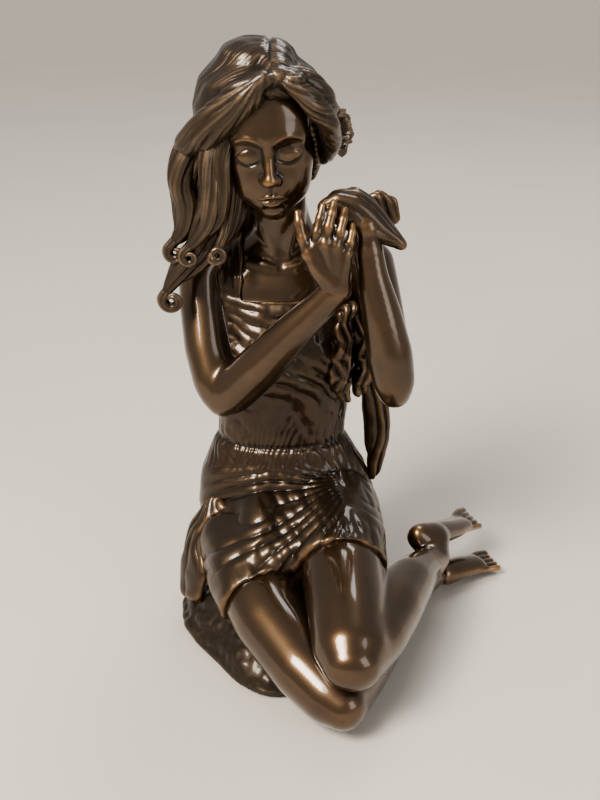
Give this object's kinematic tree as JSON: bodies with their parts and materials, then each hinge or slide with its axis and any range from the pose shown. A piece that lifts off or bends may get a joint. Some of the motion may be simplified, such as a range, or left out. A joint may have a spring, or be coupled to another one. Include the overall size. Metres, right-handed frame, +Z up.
{
  "type": "bronze statuette",
  "caption": "Cast bronze figure of a woman in a draped gown, kneeling on a low mound and holding a scarf to her shoulder; a free-standing ornament.",
  "frame": {"origin": "on the felt's underside, below the figure's seat", "axes": "+Z up, the figure faces -Y, her left is +X"},
  "size_m": [0.2628, 0.2486, 0.4199],
  "materials": {
    "skin_bronze": "polished dark brown patina, worn golden on the high points",
    "cloth_bronze": "satin dark brown patina",
    "hair_bronze": "satin brown patina with chased strands",
    "base_bronze": "rough dark patina",
    "steel": "zinc plated",
    "felt": "dark green wool felt"
  },
  "bodies": {
    "root": {"seat_stud": "steel", "seat_nut": "steel", "seat_washer": "steel", "thigh_stud": "steel", "thigh_nut": "steel", "thigh_washer": "steel", "felt_pad": "felt", "head": "skin_bronze", "neck_and_shoulders": "skin_bronze", "gown_bodice": "cloth_bronze", "gown_strap_right": "cloth_bronze", "gown_strap_left": "cloth_bronze", "gown_skirt": "cloth_bronze", "right_thigh": "skin_bronze", "left_thigh": "skin_bronze", "right_shin": "skin_bronze", "left_shin": "skin_bronze", "right_foot": "skin_bronze", "left_foot": "skin_bronze", "right_upper_arm": "skin_bronze", "left_upper_arm": "skin_bronze", "right_forearm": "skin_bronze", "left_forearm": "skin_bronze", "right_hand": "skin_bronze", "left_hand": "skin_bronze", "hair_crown": "hair_bronze", "hair_back": "hair_bronze", "hair_front_sweep": "hair_bronze", "hair_lock_long": "hair_bronze", "hair_lock_middle": "hair_bronze", "hair_lock_shoulder": "hair_bronze", "hair_lock_inner": "hair_bronze", "hair_left_side": "hair_bronze", "hair_flower": "hair_bronze", "scarf_over_hand": "cloth_bronze", "scarf_gathers": "cloth_bronze", "scarf_tail": "cloth_bronze", "gown_side_fold": "cloth_bronze", "base_mound": "base_bronze"}
  },
  "joints": []
}
